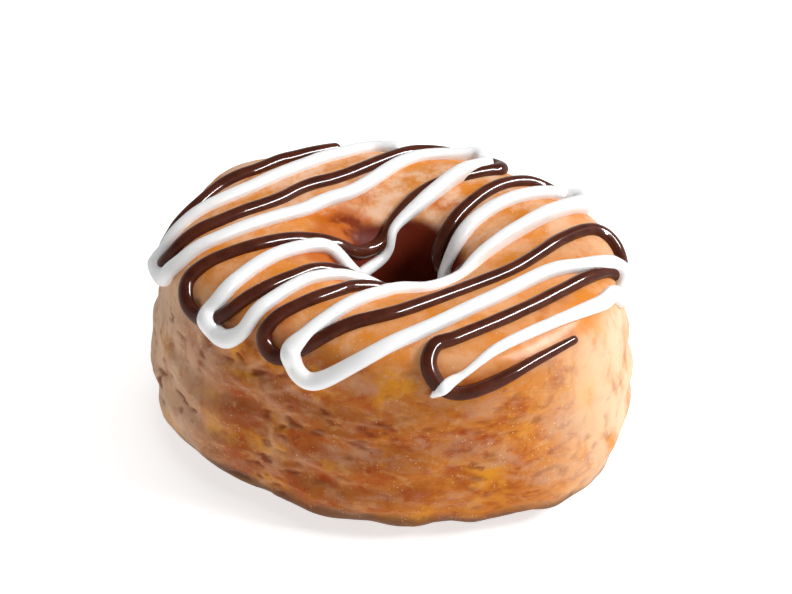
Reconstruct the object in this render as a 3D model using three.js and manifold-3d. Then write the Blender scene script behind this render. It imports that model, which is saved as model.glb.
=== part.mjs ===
// A croissant doughnut: a tall ring of laminated dough, fried and glazed, with one zigzag thread of
// dark chocolate and one of white icing trailed over its top. They have set together, so they are
// one solid. Millimetres, +Z up. The origin is the middle of the footprint, on the flat base.

import * as THREE from 'three';
import Module from 'manifold-3d';

const wasm = await Module();
wasm.setup();

const { degToRad, euclideanModulo, lerp, smoothstep } = THREE.MathUtils;
const FULL_TURN = 2 * Math.PI;

// ---- Sizes of the ring of dough ----

const HEIGHT = 44; // from the base to the crown
const RADIUS = 44.8; // mean, at the widest
const HOLE_RADIUS = 9;
const CROWN_RADIUS = 26; // of the circle along the top of the ring
const STRETCH = 0.105; // share by which the ring is longer one way and shorter the other
const STRETCH_ANGLE = degToRad(-30);
const HOLE_SHIFT = { x: 2.5, y: -3.5 }; // the hole isn't quite in the middle
const LEAN = { x: 1, y: -1 }; // how far the crown stands over the base
const CENTRE = { x: -0.09, y: 0.15 }; // the middle of the footprint, before it is moved to the origin

// The cut through the ring is a loop drawn tight round these pegs, anticlockwise from the foot of
// the outer side: where each peg stands, and its radius.
const SECTION_PEGS = [
  { r: RADIUS - 10.4, z: 10, bend: 10 },
  { r: RADIUS - 25.4, z: 14, bend: 25.4 },
  { r: RADIUS - 13.1, z: HEIGHT - 11.6, bend: 10.7 },
  { r: CROWN_RADIUS, z: HEIGHT - 28, bend: 28 },
  { r: HOLE_RADIUS + 10.8, z: HEIGHT - 11.8, bend: 10.8 },
  { r: HOLE_RADIUS + 9, z: 8.5, bend: 8.5 },
];
const ARC_STEP = 0.5;

// Swellings and dents of the side: where the middle is, how far it reaches, and how far it pushes
// the dough out.
const LUMPS = [
  { angle: degToRad(137), z: 34, reach: 20, push: 1.5 },
  { angle: degToRad(136), z: 40, reach: 11, push: 1.6 },
  { angle: degToRad(108), z: 40, reach: 18, push: -1.4 },
  { angle: degToRad(153), z: 38, reach: 10, push: -1.0 },
  { angle: degToRad(15), z: 39, reach: 17, push: 2.0 },
  { angle: degToRad(-68), z: 4, reach: 16, push: -1.0 },
  { angle: degToRad(-42), z: 6, reach: 18, push: 1.7 },
  { angle: degToRad(-22), z: 6, reach: 12, push: -0.5 },
  { angle: degToRad(-150), z: 8, reach: 16, push: 1.1 },
  { angle: degToRad(-133), z: 4, reach: 12, push: -0.6 },
  { angle: degToRad(-166), z: 6, reach: 12, push: 0.9 },
  { angle: degToRad(-112), z: 2, reach: 14, push: 1.0 },
];

// The laminated layers run round the side as ledges.
const LEDGE_PITCH = 8.5;
const LEDGE_DEPTH = 0.45;
const LEDGE_FOOT = 7; // they fade in over this height above the base
const LEDGE_TOP = { from: 26, to: 41 }; // and fade out between these heights

const FACETS_AROUND = 66;
const SIDE_ROW = 3.8; // width of a row of facets on the side and the top
const HOLE_ROW = 6; // in the hole,
const HOLE_MOUTH = HEIGHT - 12; // from this height down
const BASE_ROW = 20; // and on the flat base

// ---- The section, and the skin that it sweeps ----

// A polyline along the pegs' outer tangents and arcs. The marks are the ends of each arc.
function drawSection() {
  const headings = SECTION_PEGS.map((peg, i) => {
    const next = SECTION_PEGS[(i + 1) % SECTION_PEGS.length];
    const run = Math.hypot(next.r - peg.r, next.z - peg.z);
    return Math.atan2(next.z - peg.z, next.r - peg.r) - Math.asin((next.bend - peg.bend) / run);
  });
  const points = [];
  const marks = [];
  SECTION_PEGS.forEach((peg, i) => {
    const arrive = headings.at(i - 1);
    const swing = euclideanModulo(headings[i] - arrive, FULL_TURN);
    const steps = Math.max(1, Math.round((swing * peg.bend) / ARC_STEP));
    marks.push(points.length, points.length + steps);
    for (let k = 0; k <= steps; k += 1) {
      const heading = arrive + (swing * k) / steps;
      const x = peg.r + peg.bend * Math.sin(heading);
      points.push(new THREE.Vector2(x, peg.z - peg.bend * Math.cos(heading)));
    }
  });
  return { points, marks };
}

const section = drawSection();
const outline = [...section.points, section.points[0]];
const places = [0]; // the distance along the section to each of its points
for (let i = 1; i < outline.length; i += 1) {
  places.push(places[i - 1] + outline[i].distanceTo(outline[i - 1]));
}
const girth = places.at(-1);
const crown = outline.reduce((best, point, i) => (point.y > outline[best].y ? i : best), 0);

// The point of the section at a distance over the skin from the crown, outwards, or with a minus
// inwards, into the hole: x is its radius and y its height.
function sectionAt(distance) {
  const place = euclideanModulo(places[crown] - distance, girth);
  let low = 0;
  let high = outline.length - 1;
  while (high - low > 1) {
    const middle = (low + high) >> 1;
    if (places[middle] <= place) low = middle;
    else high = middle;
  }
  const share = (place - places[low]) / (places[high] - places[low]);
  return outline[low].clone().lerp(outline[high], share);
}

function ledge(angle, z) {
  const sway = 1.3 * Math.sin(3 * angle + 1) + 0.8 * Math.sin(7 * angle + 0.06 * z);
  const wave = Math.sin((FULL_TURN * z) / LEDGE_PITCH + sway);
  const patch = 0.6 + 0.4 * Math.sin(5 * angle - z / 5);
  const fade = smoothstep(z, 0, LEDGE_FOOT) * (1 - smoothstep(z, LEDGE_TOP.from, LEDGE_TOP.to));
  return LEDGE_DEPTH * wave * patch * fade;
}

function lump(angle, z) {
  return LUMPS.reduce((sum, { angle: middle, z: height, reach, push }) => {
    const across = RADIUS * (euclideanModulo(angle - middle + Math.PI, FULL_TURN) - Math.PI);
    const away = (across ** 2 + (z - height) ** 2) / reach ** 2;
    return sum + push * Math.max(0, 1 - away) ** 2;
  }, 0);
}

// The skin at an angle round the ring, for a point of the section. Its stretch, lumps and ledges
// grow from nothing at the hole to the full at the outer side.
function skinAt(angle, { x: r, y: z }) {
  const outward = THREE.MathUtils.clamp((r - HOLE_RADIUS) / (RADIUS - HOLE_RADIUS), 0, 1);
  const stretch = STRETCH * Math.cos(2 * (angle - STRETCH_ANGLE));
  const reach = r * (1 + stretch * outward) + (lump(angle, z) + ledge(angle, z)) * outward;
  const inward = 1 - outward;
  const lean = z / HEIGHT - 0.5;
  return new THREE.Vector3(
    reach * Math.cos(angle) + HOLE_SHIFT.x * inward + LEAN.x * lean - CENTRE.x,
    reach * Math.sin(angle) + HOLE_SHIFT.y * inward + LEAN.y * lean - CENTRE.y,
    z,
  );
}

// ---- The threads ----

// Each thread is piped in passes to and fro over the ring, joined by half-round turns. A pass is
// given by points on the skin as it would lie unrolled flat, with the crown's circle at its true
// size: what is farther out hangs down the side, and what is nearer the middle hangs into the hole.
// A third number is the thread's width, where it isn't the usual one.
const CHOCOLATE_WIDTH = 2.8;
const CHOCOLATE_PASSES = [
  [[-11.5, 36.5], [-16.75, 31.5], [-20.75, 27.25], [-24.75, 22.75], [-33, 19], [-38.5, 14],
    [-43.5, 9.5]],
  [[-43.5, 1.75], [-37.5, 3.5], [-26.75, 9.75], [-14.5, 19.25], [-2, 29.5], [5, 34], [14.5, 34.5],
    [19.5, 32]],
  [[19.75, 25.75], [6, 19.5], [-1.25, 12.75], [-4.5, 6.75], [-9, 3.75], [-19, 1.25], [-28, -3.5],
    [-35.5, -7]],
  [[-33.75, -22.25], [-22, -15], [-15, -9], [-5, -6.5], [2.5, -3], [4, 4], [9, 9.5], [21.25, 19.25],
    [29.5, 22.75]],
  [[32.75, 12], [21.5, 2], [10.5, -5.5], [5, -10], [-4, -12.5], [-9.5, -15.5], [-13, -19.5],
    [-25.25, -28.5]],
  [[-21.5, -36.5], [-17, -35.5], [-9, -31], [-0.5, -26.75], [12.5, -15.75], [21, -10.25], [37.5, 4.5]],
  [[38.5, -8], [30, -16], [20.25, -25.25], [10.75, -33.25]],
  [[13, -44], [19.25, -40.25], [26, -33.5, 2.2], [32.75, -26.5, 1.7]],
];
const WHITE_WIDTH = 3.1;
const WHITE_PASSES = [
  [[1.5, 34.5], [-5, 35.5], [-13.5, 29.5], [-21, 20.75], [-30, 14.75], [-43, 7]],
  [[-42.25, -3.25, 3.5], [-36, -1.25], [-29.5, 2.5], [-12, 15.5], [1, 28], [5.5, 31], [14.75, 32.75]],
  [[16.5, 25.75], [4.5, 16], [-2.25, 10, 1.9], [-2.5, 6.5, 1.9], [-3, 4.25, 2.3], [-4.5, 2.25, 2.6],
    [-7, -0.5], [-10, -1.75], [-14, 0], [-18, -1.25], [-34.75, -18.25, 3.5]],
  [[-32.25, -28], [-27, -24], [-13.5, -11.25, 2.6], [-5, -8.5], [1.5, -5], [3.75, 0.75, 2.2],
    [10, 5.5], [17, 10.5], [32.5, 17, 3.5]],
  [[34.25, 11.25, 3.5], [14, -4.5, 2.4], [10.25, -8.25, 2], [5, -12.25, 2.4], [-1, -14], [-5.5, -19.5],
    [-18.25, -33.75]],
  [[-15.5, -43.25, 3.5], [-7.25, -40.25], [0.25, -35.5], [6.25, -30.75], [24.75, -13.5], [29, -10.75],
    [36.25, -8], [40, -6, 3.4]],
  [[39.75, -13, 3.4], [37, -16.75], [28, -25, 2.4], [18, -34.25, 2.1], [13.25, -40.25, 1.5],
    [10, -43.25, 2.4], [7.75, -46.25, 0.6]],
];
const TURN_ANGLES = [degToRad(45), degToRad(90), degToRad(135)]; // the points of a turn
const TURN_SWELL = 1.12; // a thread is this much wider in its turns
const THREAD_HEIGHT = 0.62; // as a share of its width
const ROUTE_STEP = 0.75; // the route is followed in steps of this length,
const LONGEST_FACET = 4.8; // and a thread's facets are this long at most,
const FACET_BEND = degToRad(40); // or as long as the thread takes to bend this much
const TIP_STEPS = 2; // a tip is this many steps long,
const TIP_SHARE = 0.5; // and ends at this share of the thread's width
const THREAD_BURIED = 1.2; // the threads are closed below, this far under the skin
const CROSSING_RISE = 0.75; // share of the lower thread's height that the upper one climbs over it
const CROSSING_REACH = 3.2; // and how far from its middle that begins
const TINY = 0.2;

// A thread's section above the skin, anticlockwise, as shares of its width and height. One more
// corner, under its middle, is buried.
const THREAD_SIDES = [
  { across: 0.5, up: 0.3 },
  { across: 0.3, up: 0.95 },
  { across: -0.3, up: 0.95 },
  { across: -0.5, up: 0.3 },
];

// The points of the turn from one pass to the next. Here and in a route, z is the thread's width.
function turn(before, after) {
  const start = before.at(-1);
  const half = after[0].clone().sub(start).multiplyScalar(0.5);
  const middle = start.clone().add(half);
  middle.z *= TURN_SWELL;
  half.z = 0;
  const out = new THREE.Vector3(-half.y, half.x, 0);
  if (out.dot(start.clone().sub(before.at(-2))) < 0) out.negate();
  return TURN_ANGLES.map((angle) =>
    middle.clone().addScaledVector(half, -Math.cos(angle)).addScaledVector(out, Math.sin(angle)));
}

// The middle line of a thread over the unrolled skin
function route(passes, usualWidth) {
  const runs = passes.map((pass) =>
    pass.map(([x, y, width = usualWidth]) => new THREE.Vector3(x, y, width)));
  const points = runs.flatMap((run, i) => [...(i > 0 ? turn(runs[i - 1], run) : []), ...run]);
  const curve = new THREE.CatmullRomCurve3(points, false, 'centripetal');
  return curve.getSpacedPoints(Math.round(curve.getLength() / ROUTE_STEP));
}

function drape({ x, y }) {
  return skinAt(Math.atan2(y, x), sectionAt(Math.hypot(x, y) - CROWN_RADIUS));
}

// Which way the skin faces at a point of the unrolled skin
function outwardAt({ x, y }) {
  const alongX = drape({ x: x + TINY, y }).sub(drape({ x: x - TINY, y }));
  const alongY = drape({ x, y: y + TINY }).sub(drape({ x, y: y - TINY }));
  return alongX.cross(alongY).normalize();
}

// How high a thread climbs where it lies over the other one
function climb(point, below) {
  const nearest = Math.min(...below.map(({ x, y }) => Math.hypot(x - point.x, y - point.y)));
  const highest = CHOCOLATE_WIDTH * THREAD_HEIGHT * CROSSING_RISE;
  return highest * (1 - smoothstep(nearest, 0, CROSSING_REACH));
}

// The points of a draped route that are kept as corners: close together where it bends
function cornersOf(feet) {
  const kept = [0, TIP_STEPS];
  const last = feet.length - 1;
  let bent = 0;
  for (let i = TIP_STEPS + 1; i < last - TIP_STEPS; i += 1) {
    const before = feet[i].clone().sub(feet[i - 1]);
    bent += before.angleTo(feet[i + 1].clone().sub(feet[i]));
    if (bent > FACET_BEND || (i - kept.at(-1)) * ROUTE_STEP >= LONGEST_FACET) {
      kept.push(i);
      bent = 0;
    }
  }
  return [...kept, last - TIP_STEPS, last];
}

// One closed solid along a thread's route
function pipeThread(line, below = []) {
  const feet = line.map(drape);
  const corners = cornersOf(feet);
  const sides = THREAD_SIDES.length + 1;
  const vertices = [];
  corners.forEach((i, place) => {
    const facing = outwardAt(line[i]);
    const along = feet[Math.min(i + 1, feet.length - 1)].clone().sub(feet[Math.max(i - 1, 0)]);
    const across = facing.clone().cross(along).normalize();
    const width = line[i].z * (place === 0 || place === corners.length - 1 ? TIP_SHARE : 1);
    const top = width * THREAD_HEIGHT + (below.length ? climb(line[i], below) : 0);
    const ring = [[0, -THREAD_BURIED], ...THREAD_SIDES.map(({ across: share, up }) => [share, up * top])];
    ring.forEach(([share, up]) => {
      const corner = feet[i].clone().addScaledVector(across, share * width);
      vertices.push(corner.addScaledVector(facing, up));
    });
  });
  const triangles = [];
  for (let i = 0; i < corners.length - 1; i += 1) {
    for (let k = 0; k < sides; k += 1) {
      const next = (k + 1) % sides;
      addQuad(triangles, i * sides + k, i * sides + next, (i + 1) * sides + next, (i + 1) * sides + k);
    }
  }
  const last = (corners.length - 1) * sides;
  for (let k = 1; k < sides - 1; k += 1) {
    triangles.push(0, k + 1, k, last, last + k, last + k + 1);
  }
  return solid(vertices, triangles);
}

// ---- The solids ----

function addQuad(triangles, a, b, c, d) {
  triangles.push(a, b, c, a, c, d);
}

function solid(vertices, triangles) {
  return new wasm.Manifold(new wasm.Mesh({
    numProp: 3,
    vertProperties: new Float32Array(vertices.flatMap((vertex) => vertex.toArray())),
    triVerts: new Uint32Array(triangles),
  }));
}

function rowWidth({ x: r, y: z }) {
  if (z < TINY) return BASE_ROW;
  return r < CROWN_RADIUS && z < HOLE_MOUTH ? HOLE_ROW : SIDE_ROW;
}

// Rows of facets, each stretch of the section in equal parts
function rowCorners() {
  const rows = [];
  section.marks.forEach((mark, i) => {
    const from = places[mark];
    const to = i + 1 < section.marks.length ? places[section.marks[i + 1]] : girth;
    const middle = sectionAt(places[crown] - (from + to) / 2);
    const count = Math.max(1, Math.round((to - from) / rowWidth(middle)));
    for (let k = 0; k < count; k += 1) {
      rows.push(sectionAt(places[crown] - lerp(from, to, k / count)));
    }
  });
  return rows;
}

function bakeRing() {
  const rows = rowCorners();
  const vertices = [];
  const triangles = [];
  for (let i = 0; i < FACETS_AROUND; i += 1) {
    const next = (i + 1) % FACETS_AROUND;
    rows.forEach((corner, j) => {
      const up = (j + 1) % rows.length;
      vertices.push(skinAt((FULL_TURN * i) / FACETS_AROUND, corner));
      addQuad(triangles, i * rows.length + j, next * rows.length + j,
        next * rows.length + up, i * rows.length + up);
    });
  }
  return solid(vertices, triangles);
}

function geometryOf(body) {
  const { vertProperties, triVerts } = body.getMesh();
  const geometry = new THREE.BufferGeometry();
  geometry.setAttribute('position', new THREE.BufferAttribute(vertProperties, 3));
  geometry.setIndex(new THREE.BufferAttribute(triVerts, 1));
  geometry.computeVertexNormals();
  return geometry;
}

const chocolateLine = route(CHOCOLATE_PASSES, CHOCOLATE_WIDTH);
const chocolate = pipeThread(chocolateLine);
const white = pipeThread(route(WHITE_PASSES, WHITE_WIDTH), chocolateLine);
const fused = bakeRing().add(chocolate).add(white);
const doughnut = fused.decompose().sort((a, b) => b.volume() - a.volume())[0]; // specks of air are filled

const group = new THREE.Group();
const crust = new THREE.MeshStandardMaterial({ color: 0xc98a52, roughness: 0.4, metalness: 0 });
const mesh = new THREE.Mesh(geometryOf(doughnut), crust);
mesh.name = 'croissant_doughnut';
group.add(mesh);

export default group;
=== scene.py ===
import math

import bpy
import numpy as np
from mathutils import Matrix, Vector, noise


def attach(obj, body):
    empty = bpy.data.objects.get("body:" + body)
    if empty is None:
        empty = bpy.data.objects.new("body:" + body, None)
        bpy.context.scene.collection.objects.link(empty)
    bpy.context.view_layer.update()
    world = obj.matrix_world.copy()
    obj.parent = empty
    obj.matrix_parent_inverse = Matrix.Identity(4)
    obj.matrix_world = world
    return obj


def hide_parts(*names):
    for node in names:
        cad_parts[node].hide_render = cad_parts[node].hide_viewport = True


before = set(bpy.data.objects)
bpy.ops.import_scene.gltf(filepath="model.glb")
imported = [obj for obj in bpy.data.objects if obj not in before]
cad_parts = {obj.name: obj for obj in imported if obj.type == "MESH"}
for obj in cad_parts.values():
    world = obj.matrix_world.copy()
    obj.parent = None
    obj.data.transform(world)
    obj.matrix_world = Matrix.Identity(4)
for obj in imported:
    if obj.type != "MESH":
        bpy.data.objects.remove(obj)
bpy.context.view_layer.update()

# ---- The camera ----
# A long lens looks down at the doughnut from the front, from 35 degrees above its middle. The
# colours are shown as they are, with no film curve.
CAMERA_PLACE = Vector((0.00009, -0.57353, 0.41950))
CAMERA_AIM = Vector((0.00112, 0.00487, 0.02513))
CAMERA_LENS = 160.5
SENSOR_WIDTH = 36

bpy.ops.object.camera_add(
    location=CAMERA_PLACE, rotation=(CAMERA_AIM - CAMERA_PLACE).to_track_quat("-Z", "Y").to_euler())
camera = bpy.context.object
camera.name = "camera"
camera.data.lens = CAMERA_LENS
camera.data.sensor_width = SENSOR_WIDTH
bpy.context.scene.camera = camera
bpy.context.scene.view_settings.view_transform = "Standard"

# ---- The table and the studio lights ----
# A white table that glows a little, in a studio that is bright near the horizon and dark overhead.
# The key light is a small panel on the right. A bright strip in front of it is seen only in gloss,
# as the thin line along wet chocolate.
TABLE_SIZE = 4
TABLE_DROP = 0.0001  # the table lies this far under the flat base
TABLE_WHITE = (0.72, 0.72, 0.72, 1)
TABLE_GLOW = 0.68
STUDIO_WHITE = (1, 1, 1, 1)
HORIZON_STRENGTH = 0.5
OVERHEAD_STRENGTH = 0.10
HORIZON_FADE = (0.12, 0.55)  # from and to which height of a direction the horizon's light fades

# Each lamp: where it stands, how wide and how high it is, its power in watts, and whether it is
# seen only in gloss, or else lights the surfaces only
LAMPS = {
    "key_panel": ((0.75, -0.17, 0.68), (0.35, 0.35), 8.2, False),
    "gloss_strip": ((0.73, -0.16, 0.66), (1.00, 0.15), 38.0, True),
    "overhead_box": ((0.10, 0.20, 1.0), (0.8, 0.8), 4.6, False),
}


def node(tree, kind, inputs=None, **settings):
    """A node with its settings, and its inputs given as values or as the sockets that feed them."""
    made = tree.nodes.new(kind)
    for name, value in settings.items():
        setattr(made, name, value)
    for name, value in (inputs or {}).items():
        if isinstance(value, bpy.types.NodeSocket):
            tree.links.new(value, made.inputs[name])
        else:
            made.inputs[name].default_value = value
    return made


bpy.ops.object.select_all(action="DESELECT")
bpy.ops.mesh.primitive_plane_add(size=TABLE_SIZE, location=(0, 0, -TABLE_DROP))
table = bpy.context.object
table.name = "table_top"
table_paint = bpy.data.materials.new("table_white")
table_paint.use_nodes = True
paint = table_paint.node_tree.nodes["Principled BSDF"]
paint.inputs["Base Color"].default_value = TABLE_WHITE
paint.inputs["Roughness"].default_value = 0.9
paint.inputs["Specular IOR Level"].default_value = 0.1
paint.inputs["Emission Color"].default_value = STUDIO_WHITE
paint.inputs["Emission Strength"].default_value = TABLE_GLOW
table.data.materials.append(table_paint)
table.visible_glossy = False  # or it greys the rims of the chocolate

room = bpy.data.worlds.new("studio")
room.use_nodes = True
sky = room.node_tree
direction = node(sky, "ShaderNodeTexCoord").outputs["Generated"]
fade = node(sky, "ShaderNodeMapRange", {
    "Value": node(sky, "ShaderNodeSeparateXYZ", {0: direction}).outputs["Z"],
    "From Min": HORIZON_FADE[0], "From Max": HORIZON_FADE[1],
    "To Min": HORIZON_STRENGTH, "To Max": OVERHEAD_STRENGTH})
sky.links.new(fade.outputs["Result"], sky.nodes["Background"].inputs["Strength"])
sky.nodes["Background"].inputs["Color"].default_value = STUDIO_WHITE
bpy.context.scene.world = room

for lamp_name, (place, (width, length), power, only_gloss) in LAMPS.items():
    aim = (CAMERA_AIM - Vector(place)).to_track_quat("-Z", "Y").to_euler()
    bpy.ops.object.light_add(type="AREA", location=place, rotation=aim)
    lamp = bpy.context.object
    lamp.name = lamp_name
    lamp.data.shape = "RECTANGLE"
    lamp.data.size = width
    lamp.data.size_y = length
    lamp.data.energy = power
    lamp.visible_glossy = only_gloss
    lamp.visible_diffuse = not only_gloss

# ---- The ring of dough ----
# A tall ring cut from a laminated yeast dough and fried. Its top is smooth, its side shows the edges
# of the layers as soft folds and small pits, and all of it has been dipped in thin glaze. It is
# rougher on the left and smoother on the right, and the side's colour has painted shade on the left
# and painted light on the right.
# Sizes are in millimetres here, and go into the mesh as metres.
MM = 0.001
HEIGHT = 44
RADIUS = 44.8
HOLE_RADIUS = 9
CROWN_RADIUS = 26
STRETCH = 0.105  # longer one way than the other by twice this share
STRETCH_ANGLE = math.radians(-30)
HOLE_SHIFT = np.array((2.5, -3.5))
LEAN = np.array((1, -1))  # how far the crown stands over the base
CENTRE = np.array((-0.09, 0.15))

# The cut through the ring is a loop drawn tight round these pegs: radius from the ring's middle,
# height, and the peg's own radius.
CUT_PEGS = np.array((
    (RADIUS - 10.4, 10, 10),
    (RADIUS - 25.4, 14, 25.4),
    (RADIUS - 13.1, HEIGHT - 11.6, 10.7),
    (CROWN_RADIUS, HEIGHT - 28, 28),
    (HOLE_RADIUS + 10.8, HEIGHT - 11.8, 10.8),
    (HOLE_RADIUS + 9, 8.5, 8.5),
))
ARC_STEP = 0.25

# Swellings and dents: angle, height, reach and push
LUMPS = (
    (math.radians(137), 34, 20, 1.5),
    (math.radians(136), 40, 11, 1.6),
    (math.radians(108), 40, 18, -1.4),
    (math.radians(153), 38, 10, -1.0),
    (math.radians(15), 39, 17, 2.0),
    (math.radians(-68), 4, 16, -1.0),
    (math.radians(-42), 6, 18, 1.7),
    (math.radians(-22), 6, 12, -0.5),
    (math.radians(-150), 8, 16, 1.1),
    (math.radians(-133), 4, 12, -0.6),
    (math.radians(-166), 6, 12, 0.9),
    (math.radians(-112), 2, 14, 1.0),
)
LEDGE_PITCH = 8.5
LEDGE_DEPTH = 0.45
LEDGE_FOOT = 7
LEDGE_TOP = (26, 41)

COLUMNS = 480  # of the mesh, round the ring
FINE_ROW = 0.55  # on the side and the top
HOLE_ROW = 0.9
BASE_ROW = 3.0
HOLE_ROWS_FROM = 9  # under the top, inside the crown's circle
BASE_BELOW = 0.01  # what is lower than this is the flat base
SAME_PLACE = 0.000004  # metres: corners this close are one corner

# The relief that frying leaves on the skin, as heights in millimetres
WARP = 2.0  # how far the folds are pulled out of line
FOLD_HEIGHT = 0.52
BUMP_HEIGHT = 0.26
CREST_HEIGHT = 0.14
CREST_WIDTH = 0.09  # as a share of the noise that draws the crests
PIT_DEPTH = 0.28
SIDE_SWELL = 0.12
SCALLOP_HEIGHT = 0.80
SCALLOP_FADE = (6, 13)  # from and to which height the scalloped foot fades
HOLE_RELIEF = 0.2
TOP_SWELL = 0.20
TOP_BUMP = 0.05
FLAT_EDGE = 1.5  # the relief starts at the base and is whole at this height

ROUGHEST_DARKEST_ANGLE = math.radians(-160)  # the angle where the side is roughest, and darkest with painted shade
LEAST_ROUGH = 0.2  # what the smooth side, in painted light, still has of the relief
RUN_IN_DEPTH = 2.8  # how deep in the hole the painted shade starts


def ease(value, low, high):
    """0 below low and 1 above high, with a smooth rise between them."""
    share = np.clip((value - low) / (high - low), 0, 1)
    return share * share * (3 - 2 * share)


def draw_cut():
    """The loop round the pegs, anticlockwise from the foot of the outer side: radii and heights."""
    step = np.roll(CUT_PEGS, -1, axis=0) - CUT_PEGS
    run = np.hypot(step[:, 0], step[:, 1])
    headings = np.arctan2(step[:, 1], step[:, 0]) - np.arcsin(step[:, 2] / run)
    loop = []
    for (r, z, bend), arrive, leave in zip(CUT_PEGS, np.roll(headings, 1), headings):
        swing = (leave - arrive) % (2 * math.pi)
        turns = arrive + swing * np.linspace(0, 1, 1 + max(1, round(swing * bend / ARC_STEP)))
        loop += zip(r + bend * np.sin(turns), z - bend * np.cos(turns))
    return np.array([*loop, loop[0]])


cut = draw_cut()
cut_places = np.concatenate(((0,), np.cumsum(np.hypot(*np.diff(cut, axis=0).T))))
girth = cut_places[-1]
crown_place = cut_places[np.argmax(cut[:, 1])]


def cut_at(distance):
    """Radius and height of the cut at a distance over the skin from the crown, outwards."""
    place = (crown_place - distance) % girth
    return np.interp(place, cut_places, cut[:, 0]), np.interp(place, cut_places, cut[:, 1])


def skin_at(angle, r, z):
    """Points of the smooth skin, for angles round the ring and points of the cut."""
    outward = np.clip((r - HOLE_RADIUS) / (RADIUS - HOLE_RADIUS), 0, 1)
    swell = np.zeros_like(r)
    for middle, height, reach, push in LUMPS:
        across = RADIUS * ((angle - middle + math.pi) % (2 * math.pi) - math.pi)
        away = (across**2 + (z - height) ** 2) / reach**2
        swell += push * np.maximum(0, 1 - away) ** 2
    sway = 1.3 * np.sin(3 * angle + 1) + 0.8 * np.sin(7 * angle + 0.06 * z)
    wave = np.sin(2 * math.pi * z / LEDGE_PITCH + sway)
    patch = 0.6 + 0.4 * np.sin(5 * angle - z / 5)
    swell += LEDGE_DEPTH * wave * patch * ease(z, 0, LEDGE_FOOT) * (1 - ease(z, *LEDGE_TOP))
    reach = r * (1 + STRETCH * np.cos(2 * (angle - STRETCH_ANGLE)) * outward) + swell * outward
    shift = np.outer(1 - outward, HOLE_SHIFT) + np.outer(z / HEIGHT - 0.5, LEAN) - CENTRE
    return np.column_stack((reach * np.cos(angle), reach * np.sin(angle), z)) + np.pad(
        shift, ((0, 0), (0, 1)))


def grain(points, sizes, seed):
    """Smooth noise at points, from about -1 to 1, with grains of the given sizes in millimetres."""
    stretched = points / np.array(sizes) + seed * np.array((17.3, 5.9, 11.1))
    return np.array([noise.noise(Vector(point)) for point in stretched])


def rough_and_shaded_side_at(points):
    """How rough the side is and how much painted shade its colour gets, from 0 at the smooth side in
    painted light to 1 at the rough side in painted shade.
    """
    return 0.5 + 0.5 * np.cos(np.arctan2(points[:, 1], points[:, 0]) - ROUGHEST_DARKEST_ANGLE)


def relief(points, facing_up, r, z):
    """What the frying adds to the smooth skin: how far it stands out, the crests and the pits."""
    side = 1 - ease(facing_up, 0.35, 0.85)
    outer = side * (r > CROWN_RADIUS)
    rough = outer * (LEAST_ROUGH + (1 - LEAST_ROUGH) * rough_and_shaded_side_at(points))
    bent = points + WARP * np.column_stack([grain(points, (12, 12, 9), seed) for seed in (1, 2, 3)])
    folds = grain(bent, (9, 9, 3.8), 4)
    bumps = grain(bent, (4.2, 4.2, 2.6), 6)
    clusters = ease(grain(points, (13, 13, 9), 7), -0.1, 0.3)
    crests = np.maximum(0, 1 - np.abs(grain(bent, (13, 13, 5.5), 5)) / CREST_WIDTH) * clusters
    pits = ease(grain(bent, (3.0, 3.0, 1.3), 8), 0.22, 0.5) * clusters
    swells = grain(points, (10, 10, 12), 9)
    scallops = grain(points, (6.5, 6.5, 16), 10) * (1 - ease(z, *SCALLOP_FADE))
    height = rough * (
        FOLD_HEIGHT * folds + BUMP_HEIGHT * bumps + CREST_HEIGHT * crests - PIT_DEPTH * pits)
    height += outer * (SIDE_SWELL * swells + SCALLOP_HEIGHT * scallops)
    height += (side - outer) * HOLE_RELIEF * (folds + bumps)
    height += (1 - side) * (TOP_SWELL * swells + TOP_BUMP * bumps)
    return ease(z, 0, FLAT_EDGE) * height, rough * crests, rough * pits


# The ring starts as a flat grid, which is rolled up round the ring and round its cut.
row_places = [0.0]
while row_places[-1] < girth:
    r, z = cut_at(crown_place - row_places[-1])
    in_hole = r < CROWN_RADIUS and z < HEIGHT - HOLE_ROWS_FROM
    row_step = BASE_ROW if z < BASE_BELOW else HOLE_ROW if in_hole else FINE_ROW
    row_places.append(row_places[-1] + row_step)
row_places = np.array(row_places[:-1])
rows = len(row_places)

bpy.ops.object.select_all(action="DESELECT")
bpy.ops.mesh.primitive_grid_add(x_subdivisions=COLUMNS, y_subdivisions=rows, size=1)
dough = bpy.context.object
dough.name = "dough_ring"
sheet = np.empty(3 * len(dough.data.vertices))
dough.data.vertices.foreach_get("co", sheet)
sheet = sheet.reshape(-1, 3) + 0.5
column = np.rint(sheet[:, 0] * COLUMNS).astype(int) % COLUMNS
row = np.rint(sheet[:, 1] * rows).astype(int) % rows
ring_r, ring_z = cut_at(crown_place - row_places[row])
skin = skin_at(column * 2 * math.pi / COLUMNS, ring_r, ring_z)
dough.data.vertices.foreach_set("co", (skin * MM).ravel())
dough.data.attributes.new("radius", "FLOAT", "POINT").data.foreach_set("value", ring_r)
bpy.ops.object.mode_set(mode="EDIT")
bpy.ops.mesh.select_all(action="SELECT")
bpy.ops.mesh.remove_doubles(threshold=SAME_PLACE)
bpy.ops.mesh.normals_make_consistent(inside=False)
bpy.ops.object.mode_set(mode="OBJECT")
bpy.ops.object.shade_smooth()

# Then the skin gets its relief.
skin, facing = np.empty((2, len(dough.data.vertices), 3))
dough.data.vertices.foreach_get("co", skin.ravel())
dough.data.vertices.foreach_get("normal", facing.ravel())
skin /= MM
ring_r = np.empty(len(skin))
dough.data.attributes["radius"].data.foreach_get("value", ring_r)
ring_z = skin[:, 2].copy()
proud, crests, pits = relief(skin, facing[:, 2], ring_r, ring_z)
skin += facing * proud[:, None]
skin[:, 2] = np.maximum(skin[:, 2], 0)
dough.data.vertices.foreach_set("co", (skin * MM).ravel())
dough.data.update()
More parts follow.
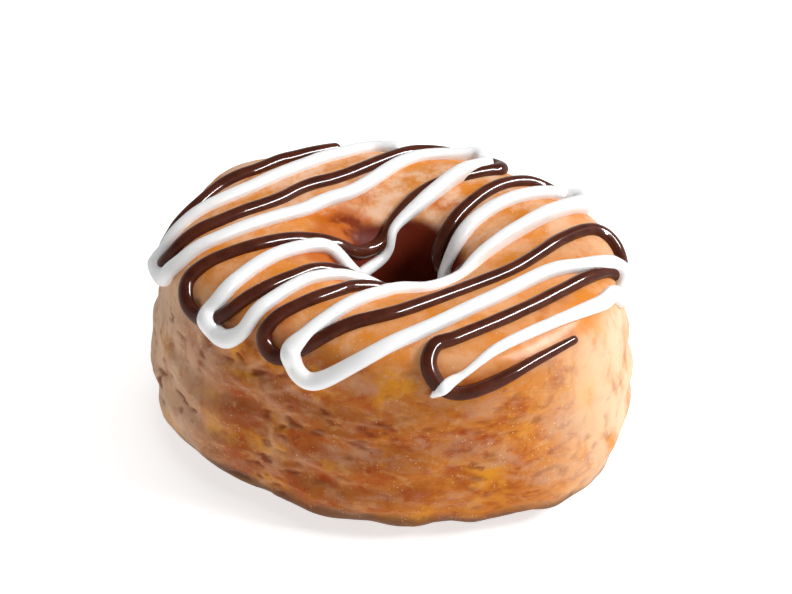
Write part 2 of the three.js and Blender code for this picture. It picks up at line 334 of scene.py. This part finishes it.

# Painted shade fills the hole just inside its rim: at the back at once, and on the left more slowly.
# On the left the glaze has run in: deep orange, then a dark red-brown that is partly run glaze and
# partly painted shade. Painted sheen in cream lies on the side at the far right, and again at the far
# left, and the top's milky glaze carries painted sheen as well, more of it towards the back.
out = skin[:, :2] / np.hypot(skin[:, 0], skin[:, 1])[:, None]
inner = ring_r < CROWN_RADIUS
depth = HEIGHT - ring_z
at_back = ease(out[:, 1], 0.2, 0.75)
ragged = 0.5 * grain(skin, (5, 5, 5), 11)
run_glaze_and_shade = ease(depth + 2 * ragged, -0.4, 3.4) * inner * ease(-out[:, 0], 0.1, 0.8)
hole_shade_share = ease((depth + ragged - RUN_IN_DEPTH) / (1.4 + 2.5 * (1 - at_back)), 0, 1) * inner
side_share = (1 - ease(facing[:, 2], 0.3, 0.8)) * ~inner
painted_sheen_share = ease(out[:, 0], 0.5, 1.0) + 0.6 * ease(-out[:, 0], 0.7, 1.0)
milky_sheen_share = 0.25 + 0.75 * ease(out[:, 1], -0.5, 0.2) + 0.3 * ease(out[:, 1], 0.3, 0.9)
for layer, values in {
    "side": side_share, "hole": hole_shade_share, "run_glaze_and_shade": run_glaze_and_shade, "crests": crests,
    "pits": pits, "painted_shade_side": rough_and_shaded_side_at(skin), "pale": painted_sheen_share, "milky_and_sheen": milky_sheen_share,
}.items():
    dough.data.attributes.new(layer, "FLOAT", "POINT").data.foreach_set("value", values)


def start_finish(name):
    """A new material: itself, its node tree and its main shader."""
    finish = bpy.data.materials.new(name)
    finish.use_nodes = True
    return finish, finish.node_tree, finish.node_tree.nodes["Principled BSDF"]


def clouds(tree, place, scale, detail=4, rough=0.55, bend=0):
    """Soft cloudy noise from 0 to 1."""
    return node(tree, "ShaderNodeTexNoise", {
        "Vector": place, "Scale": scale, "Detail": detail, "Roughness": rough, "Distortion": bend,
    }).outputs["Fac"]


def rise(tree, value, low, high, top=1.0):
    """A value spread from 0 at low to top at high."""
    return node(tree, "ShaderNodeMapRange", {
        "Value": value, "From Min": low, "From Max": high, "To Min": 0.0, "To Max": top,
    }, interpolation_type="SMOOTHSTEP").outputs["Result"]


def times(tree, first, second):
    """Two shares multiplied."""
    return node(tree, "ShaderNodeMath", {0: first, 1: second}, operation="MULTIPLY").outputs[0]


def stain(tree, share, under, over):
    """One colour laid over another, by a share."""
    return node(tree, "ShaderNodeMix", {0: share, 6: under, 7: over}, data_type="RGBA").outputs[2]


def layer_of(tree, name):
    """One of the shares that the skin carries."""
    return node(tree, "ShaderNodeAttribute", attribute_name=name).outputs["Fac"]


SIDE_IN_PAINTED_SHADE = (0.34, 0.088, 0.020, 1)
SIDE_IN_PAINTED_LIGHT = (0.76, 0.255, 0.022, 1)
BURNT_ORANGE = (0.38, 0.066, 0.008, 1)
SAND = (0.68, 0.34, 0.11, 1)
PINK_HAZE_AND_SHEEN = (0.54, 0.28, 0.17, 1)
AMBER = (0.78, 0.33, 0.02, 1)
RUST = (0.32, 0.040, 0.005, 1)
PIT_PAINTED_SHADE = (0.20, 0.036, 0.006, 1)
CREST_PAINTED_HIGHLIGHT = (0.82, 0.50, 0.28, 1)
CREAM_PAINTED_SHEEN = (0.86, 0.63, 0.42, 1)
PEACH_TOP = (0.74, 0.34, 0.14, 1)
ORANGE_TOP = (0.68, 0.225, 0.026, 1)
DEEP_ORANGE = (0.52, 0.11, 0.006, 1)
MILKY_GLAZE_AND_SHEEN = (0.80, 0.50, 0.33, 1)
RUN_GLAZE_AND_SHADE = (0.20, 0.025, 0.003, 1)
HOLE_SHADE_COLOUR = (0.13, 0.016, 0.006, 1)
FOOT_PAINTED_SHADE = (0.12, 0.057, 0.028, 1)
SPECK_PALE = (0.95, 0.70, 0.42, 1)

crust, tree, shader = start_finish("glazed_crust")
place = node(tree, "ShaderNodeTexCoord").outputs["Object"]
layered = node(tree, "ShaderNodeMapping", {"Vector": place, "Scale": (1, 1, 1.7)}).outputs[0]
hanging = node(tree, "ShaderNodeMapping", {"Vector": place, "Scale": (1, 1, 0.6)}).outputs[0]
hole = layer_of(tree, "hole")

# The side's colour: painted light on the right, painted shade on the left.
side_colour = stain(tree, layer_of(tree, "painted_shade_side"), SIDE_IN_PAINTED_LIGHT, SIDE_IN_PAINTED_SHADE)
burnt = rise(tree, clouds(tree, layered, 150, detail=8, rough=0.68, bend=0.5), 0.44, 0.64, 0.85)
side_colour = stain(tree, burnt, side_colour, BURNT_ORANGE)
sandy = rise(tree, clouds(tree, layered, 260, detail=6, rough=0.65, bend=0.4), 0.5, 0.72, 0.6)
side_colour = stain(tree, sandy, side_colour, SAND)
amber = rise(tree, clouds(tree, place, 95, detail=5), 0.5, 0.68, 0.6)
side_colour = stain(tree, amber, side_colour, AMBER)
# Pinkish patches of glaze haze, partly painted sheen.
hazy_sheen = rise(tree, clouds(tree, layered, 105, detail=8, rough=0.7, bend=0.3), 0.46, 0.68, 0.6)
side_colour = stain(tree, hazy_sheen, side_colour, PINK_HAZE_AND_SHEEN)
rusty = rise(tree, clouds(tree, layered, 300, detail=5, rough=0.6), 0.57, 0.72, 0.7)
side_colour = stain(tree, rusty, side_colour, RUST)
# Painted sheen: cream streaks at the far right and the far left of the side.
streaky_sheen = rise(tree, clouds(tree, hanging, 190, detail=6, rough=0.6), 0.18, 0.58, 0.95)
side_colour = stain(tree, times(tree, layer_of(tree, "pale"), streaky_sheen), side_colour, CREAM_PAINTED_SHEEN)
# Painted shade in the pits.
side_colour = stain(tree, times(tree, layer_of(tree, "pits"), 0.9), side_colour, PIT_PAINTED_SHADE)
# Painted highlight on the crests.
side_colour = stain(tree, times(tree, layer_of(tree, "crests"), 0.3), side_colour, CREST_PAINTED_HIGHLIGHT)

patchy = rise(tree, clouds(tree, place, 110, detail=6, rough=0.62, bend=0.4), 0.4, 0.62)
top_colour = stain(tree, patchy, ORANGE_TOP, PEACH_TOP)
deep = rise(tree, clouds(tree, place, 75, detail=4), 0.54, 0.7, 0.75)
top_colour = stain(tree, deep, top_colour, DEEP_ORANGE)
# Milky glaze on the top, partly painted sheen, more of it towards the back.
milky_and_sheen = rise(tree, clouds(tree, place, 130, detail=7, rough=0.68), 0.41, 0.62, 0.75)
top_colour = stain(tree, times(tree, milky_and_sheen, layer_of(tree, "milky_and_sheen")), top_colour, MILKY_GLAZE_AND_SHEEN)

colour = stain(tree, layer_of(tree, "side"), top_colour, side_colour)
# Run glaze on the left of the hole: deep orange, then a dark red-brown that is partly the glaze and
# partly painted shade.
ragged_run = rise(tree, clouds(tree, place, 190, detail=5, bend=0.4), 0.28, 0.56, 0.75)
ragged_part = node(tree, "ShaderNodeMath", {
    0: layer_of(tree, "run_glaze_and_shade"), 1: ragged_run, 2: -0.12}, operation="MULTIPLY_ADD").outputs[0]
run_glaze_and_shade = node(tree, "ShaderNodeMath", {
    0: layer_of(tree, "run_glaze_and_shade"), 1: ragged_part}, operation="ADD").outputs[0]
colour = stain(tree, rise(tree, run_glaze_and_shade, 0.1, 0.9, 0.85), colour, DEEP_ORANGE)
colour = stain(tree, rise(tree, run_glaze_and_shade, 0.85, 1.4, 0.95), colour, RUN_GLAZE_AND_SHADE)
# Painted shade inside the hole.
colour = stain(tree, hole, colour, HOLE_SHADE_COLOUR)
# Painted shade round the foot: strongest near the table and fading out a few millimetres up, with an
# uneven edge.
height = node(tree, "ShaderNodeSeparateXYZ", {0: place}).outputs["Z"]
uneven_foot = node(tree, "ShaderNodeMath", {
    0: clouds(tree, place, 120, detail=4), 1: 0.006, 2: height}, operation="MULTIPLY_ADD").outputs[0]
foot = rise(tree, uneven_foot, 0.0108, 0.0068, 0.8)
colour = stain(tree, foot, colour, FOOT_PAINTED_SHADE)

# Tiny pale specks, each raised a little, in loose swarms
specks = node(tree, "ShaderNodeTexVoronoi", {"Vector": place, "Scale": 1250.0})
speck_here = node(tree, "ShaderNodeMapRange", {
    "Value": specks.outputs["Distance"], "From Min": 0.20, "From Max": 0.11, "To Max": 1.0,
}).outputs["Result"]
chosen = rise(
    tree, node(tree, "ShaderNodeSeparateColor", {0: specks.outputs["Color"]}).outputs["Red"],
    0.42, 0.5)
swarm = rise(tree, clouds(tree, place, 140, detail=3), 0.42, 0.56)
speck_here = times(tree, times(tree, speck_here, chosen), swarm)
outside = rise(tree, hole, 1.0, 0.0)
speck_here = times(tree, speck_here, rise(tree, run_glaze_and_shade, 0.8, 0.1))
speck_here = times(tree, speck_here, outside)
colour = stain(tree, times(tree, speck_here, 0.6), colour, SPECK_PALE)
tree.links.new(colour, shader.inputs["Base Color"])

rough = node(tree, "ShaderNodeMapRange", {
    "Value": clouds(tree, place, 200, detail=3), "From Min": 0.3, "From Max": 0.7,
    "To Min": 0.36, "To Max": 0.54,
}).outputs["Result"]
tree.links.new(rough, shader.inputs["Roughness"])
tree.links.new(times(tree, outside, 0.15), shader.inputs["Coat Weight"])
shader.inputs["Specular IOR Level"].default_value = 0.03
shader.inputs["Coat Roughness"].default_value = 0.2
shader.inputs["Coat IOR"].default_value = 1.45

peel = node(tree, "ShaderNodeBump", {
    "Height": clouds(tree, layered, 500, detail=4, rough=0.6), "Strength": 0.4, "Distance": 0.0002,
})
beads = node(tree, "ShaderNodeBump", {
    "Height": speck_here, "Strength": 0.5, "Distance": 0.0001, "Normal": peel.outputs[0],
})
tree.links.new(beads.outputs[0], shader.inputs["Normal"])
dough.data.materials.append(crust)

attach(dough, "root")
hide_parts("croissant_doughnut")

# ---- The chocolate thread ----
# Melted dark chocolate, trailed to and fro over the ring from a small tip in one go. It has run
# together with the skin that it lies on, and set with a high gloss.
# A pass is given by points on the skin as it would lie unrolled flat, with the crown's circle at
# its true size: what is farther out hangs down the side, and what is nearer hangs into the hole. A
# third number is the thread's width, where it isn't the usual one. Most of these points, and of the
# white thread's, weren't chosen by hand: they come from a computed fit to a picture, rounded.
CHOCOLATE_WIDTH = 2.8
CHOCOLATE_UNEVEN = 0.06  # how much the width wanders, as a share
DARK_CHOCOLATE = (0.058, 0.0110, 0.0045, 1)
WARM_CHOCOLATE = (0.088, 0.0190, 0.0075, 1)
CHOCOLATE_PASSES = (
    ((-11.5, 36.5), (-16.75, 31.5), (-20.75, 27.25), (-24.75, 22.75), (-33, 19), (-38.5, 14),
     (-43.5, 9.5)),
    ((-43.5, 1.75), (-37.5, 3.5), (-26.75, 9.75), (-14.5, 19.25), (-2, 29.5), (5, 34), (14.5, 34.5),
     (19.5, 32)),
    ((19.75, 25.75), (6, 19.5), (-1.25, 12.75), (-4.5, 6.75), (-9, 3.75), (-19, 1.25), (-28, -3.5),
     (-35.5, -7)),
    ((-33.75, -22.25), (-22, -15), (-15, -9), (-5, -6.5), (2.5, -3), (4, 4), (9, 9.5),
     (21.25, 19.25), (29.5, 22.75)),
    ((32.75, 12), (21.5, 2), (10.5, -5.5), (5, -10), (-4, -12.5), (-9.5, -15.5), (-13, -19.5),
     (-25.25, -28.5)),
    ((-21.5, -36.5), (-17, -35.5), (-9, -31), (-0.5, -26.75), (12.5, -15.75), (21, -10.25),
     (37.5, 4.5)),
    ((38.5, -8), (30, -16), (20.25, -25.25), (10.75, -33.25)),
    ((13, -44), (19.25, -40.25), (26, -33.5, 2.2), (32.75, -26.5, 1.7)),
)
TURN_ANGLES = np.radians((45, 90, 135))  # the points of a turn from one pass to the next
TURN_SWELL = 1.12  # a thread is this much wider in its turns
BEAD_HEIGHT = 0.62  # as a share of its width
BEAD_STEP = 0.45
BEAD_SIDES = 22
BURIED = 1.0  # how deep a bead reaches under the skin
WAIST = 0.3  # a bead is widest at this share of its height
TINY = 0.2  # a step over the skin, for its slope
CURVE_STEPS = 24  # from one point of a route to the next
CALM_RELIEF = 3  # the relief and the slope under a bead are means over so many steps each way
CALM_SLOPE = 4


def bend_route(passes, usual_width):
    """Points at even steps along one smooth line through all the passes and their turns, each with
    the thread's width there."""
    runs = [np.array([(*point, usual_width)[:3] for point in points]) for points in passes]
    knots = list(runs[0])
    for before, after in zip(runs, runs[1:]):
        start, end = before[-1], after[0]
        half = (end - start) / 2
        middle = (start + half) * (1, 1, TURN_SWELL)
        half[2] = 0
        out = np.array((-half[1], half[0], 0))
        if out @ (start - before[-2]) < 0:
            out = -out
        knots += [middle - half * math.cos(a) + out * math.sin(a) for a in TURN_ANGLES]
        knots += list(after)
    knots = np.array(knots)
    knots = np.vstack((2 * knots[0] - knots[1], knots, 2 * knots[-1] - knots[-2]))
    gaps = np.sqrt(np.linalg.norm(np.diff(knots, axis=0), axis=1))
    share = np.linspace(0, 1, CURVE_STEPS, endpoint=False)[:, None]
    line = []
    for i in range(1, len(knots) - 2):
        p0, p1, p2, p3 = knots[i - 1:i + 3]
        d0, d1, d2 = gaps[i - 1:i + 2]
        leave = d1 * ((p1 - p0) / d0 - (p2 - p0) / (d0 + d1) + (p2 - p1) / d1)
        arrive = d1 * ((p2 - p1) / d1 - (p3 - p1) / (d1 + d2) + (p3 - p2) / d2)
        line.append(p1 + leave * share + (3 * (p2 - p1) - 2 * leave - arrive) * share**2
                    + (2 * (p1 - p2) + leave + arrive) * share**3)
    line = np.vstack((*line, knots[-2]))
    run = np.concatenate(((0,), np.cumsum(np.linalg.norm(np.diff(line, axis=0), axis=1))))
    steps = np.linspace(0, run[-1], round(run[-1] / BEAD_STEP))
    return np.column_stack([np.interp(steps, run, values) for values in line.T])


def drape(flat):
    """Points of the smooth skin under points of the unrolled skin, with their cut."""
    angle = np.arctan2(flat[:, 1], flat[:, 0])
    r, z = cut_at(np.hypot(flat[:, 0], flat[:, 1]) - CROWN_RADIUS)
    return skin_at(angle, r, z), r, z


def soften(values, reach):
    """A running mean over so many steps each way."""
    padded = np.pad(values, ((reach, reach), (0, 0)), mode="edge")
    return np.mean([padded[i:i + len(values)] for i in range(2 * reach + 1)], axis=0)


def unit(vectors):
    """Vectors of the same directions, 1 long."""
    return vectors / np.linalg.norm(vectors, axis=1, keepdims=True)


def pipe_bead(name, flat, width, lift):
    """A bead piped along a line over the skin: a flat strip rolled up and laid along the line, with
    its width and how far it is lifted given at each step."""
    feet, r, z = drape(flat)
    ahead, beside = np.array((TINY, 0)), np.array((0, TINY))
    along_x = drape(flat + ahead)[0] - drape(flat - ahead)[0]
    along_y = drape(flat + beside)[0] - drape(flat - beside)[0]
    up = unit(np.cross(along_x, along_y))
    feet = feet + up * soften(relief(feet, up[:, 2], r, z)[0][:, None], CALM_RELIEF)
    up = unit(soften(up, CALM_SLOPE))
    across = unit(np.cross(up, np.gradient(feet, axis=0)))

    bpy.ops.object.select_all(action="DESELECT")
    bpy.ops.mesh.primitive_grid_add(
        x_subdivisions=len(flat) - 1, y_subdivisions=BEAD_SIDES, size=1, calc_uvs=True)
    bead = bpy.context.object
    bead.name = name
    strip = np.empty(3 * len(bead.data.vertices))
    bead.data.vertices.foreach_get("co", strip)
    strip = strip.reshape(-1, 3) + 0.5
    step = np.rint(strip[:, 0] * (len(flat) - 1)).astype(int)
    turn = strip[:, 1] * 2 * math.pi
    height = BEAD_HEIGHT * width
    aside = np.cos(turn) * width[step] / 2
    waist = lift[step] + WAIST * height[step]
    above = np.sin(turn) * (1 - WAIST) * height[step]
    below = np.sin(turn) * (waist + BURIED * np.minimum(1, height[step]))
    rolled = feet[step] + across[step] * aside[:, None]
    rolled += up[step] * (waist + np.where(turn < math.pi, above, below))[:, None]
    bead.data.vertices.foreach_set("co", (rolled * MM).ravel())
    bpy.ops.object.mode_set(mode="EDIT")
    bpy.ops.mesh.select_all(action="SELECT")
    bpy.ops.mesh.remove_doubles(threshold=SAME_PLACE)
    bpy.ops.mesh.normals_make_consistent(inside=False)
    bpy.ops.object.mode_set(mode="OBJECT")
    bpy.ops.object.shade_smooth()
    return bead


def uneven(line, seed, reach):
    """Slow noise along a line, from about -1 to 1."""
    run = np.arange(len(line)) * BEAD_STEP / reach
    return np.array([noise.noise(Vector((s, seed, 0.5))) for s in run])


def round_end(line):
    """1 along a line, falling to 0 at both ends as a round tip does."""
    run = np.arange(len(line)) * BEAD_STEP
    from_end = np.minimum(run, run[-1] - run)
    return np.sqrt(1 - (1 - np.clip(from_end / (line[:, 2] / 2), 0, 1)) ** 2)


chocolate_line = bend_route(CHOCOLATE_PASSES, CHOCOLATE_WIDTH)
tip = round_end(chocolate_line)
chocolate_width = chocolate_line[:, 2] * tip * (
    1 + CHOCOLATE_UNEVEN * uneven(chocolate_line, 1, 7))
chocolate = pipe_bead(
    "chocolate_thread", chocolate_line[:, :2], chocolate_width, np.zeros(len(tip)))

gloss, tree, shader = start_finish("set_chocolate")
flow = node(tree, "ShaderNodeTexCoord").outputs["Object"]
dark = rise(tree, clouds(tree, flow, 300, detail=3), 0.35, 0.65)
tree.links.new(stain(tree, dark, DARK_CHOCOLATE, WARM_CHOCOLATE), shader.inputs["Base Color"])
shader.inputs["Roughness"].default_value = 0.3
shader.inputs["Specular IOR Level"].default_value = 0.05
shader.inputs["Coat Weight"].default_value = 0.6
shader.inputs["Coat Roughness"].default_value = 0.05
drag = node(tree, "ShaderNodeBump", {
    "Height": clouds(tree, flow, 260, detail=2), "Strength": 0.3, "Distance": 0.0003,
})
tree.links.new(drag.outputs[0], shader.inputs["Normal"])
chocolate.data.materials.append(gloss)

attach(chocolate, "root")
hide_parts("croissant_doughnut")

# ---- The white thread ----
# White icing, trailed over the chocolate once that had begun to set. It climbs over it at each
# crossing, is fatter in the turns, and ends in a blob with a drawn-out tail.
WHITE_WIDTH = 3.1
WHITE_UNEVEN = 0.05
ICING_SHADE = (0.93, 0.93, 0.93, 1)
ICING_WHITE = (0.97, 0.97, 0.965, 1)
WHITE_PASSES = (
    ((1.5, 34.5), (-5, 35.5), (-13.5, 29.5), (-21, 20.75), (-30, 14.75), (-43, 7)),
    ((-42.25, -3.25, 3.5), (-36, -1.25), (-29.5, 2.5), (-12, 15.5), (1, 28), (5.5, 31),
     (14.75, 32.75)),
    ((16.5, 25.75), (4.5, 16), (-2.25, 10, 1.9), (-2.5, 6.5, 1.9), (-3, 4.25, 2.3), (-4.5, 2.25, 2.6),
     (-7, -0.5), (-10, -1.75), (-14, 0), (-18, -1.25), (-34.75, -18.25, 3.5)),
    ((-32.25, -28), (-27, -24), (-13.5, -11.25, 2.6), (-5, -8.5), (1.5, -5), (3.75, 0.75, 2.2),
     (10, 5.5), (17, 10.5), (32.5, 17, 3.5)),
    ((34.25, 11.25, 3.5), (14, -4.5, 2.4), (10.25, -8.25, 2), (5, -12.25, 2.4), (-1, -14),
     (-5.5, -19.5), (-18.25, -33.75)),
    ((-15.5, -43.25, 3.5), (-7.25, -40.25), (0.25, -35.5), (6.25, -30.75), (24.75, -13.5),
     (29, -10.75), (36.25, -8), (40, -6, 3.4)),
    ((39.75, -13, 3.4), (37, -16.75), (28, -25, 2.4), (18, -34.25, 2.1), (13.25, -40.25, 1.5),
     (10, -43.25, 2.4), (7.75, -46.25, 0.6)),
)
CROSSING_RISE = 0.75  # share of the chocolate's height that the icing climbs
CROSSING_REACH = 3.2

white_line = bend_route(WHITE_PASSES, WHITE_WIDTH)
nearest = np.array([
    np.hypot(*(chocolate_line[:, :2] - point).T).min() for point in white_line[:, :2]])
climb = CHOCOLATE_WIDTH * BEAD_HEIGHT * CROSSING_RISE * (1 - ease(nearest, 0, CROSSING_REACH))
tip = round_end(white_line)
white_width = white_line[:, 2] * tip * (1 + WHITE_UNEVEN * uneven(white_line, 3, 8))
white = pipe_bead("white_icing_thread", white_line[:, :2], white_width, climb * tip)

satin, tree, shader = start_finish("white_icing")
flow = node(tree, "ShaderNodeTexCoord").outputs["Object"]
pale = rise(tree, clouds(tree, flow, 150, detail=3), 0.35, 0.65)
tree.links.new(stain(tree, pale, ICING_SHADE, ICING_WHITE), shader.inputs["Base Color"])
shader.inputs["Roughness"].default_value = 0.38
shader.inputs["Coat Weight"].default_value = 0.25
shader.inputs["Coat Roughness"].default_value = 0.2
drag = node(tree, "ShaderNodeBump", {
    "Height": clouds(tree, flow, 220, detail=2), "Strength": 0.1, "Distance": 0.0003,
})
tree.links.new(drag.outputs[0], shader.inputs["Normal"])
white.data.materials.append(satin)

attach(white, "root")
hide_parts("croissant_doughnut")
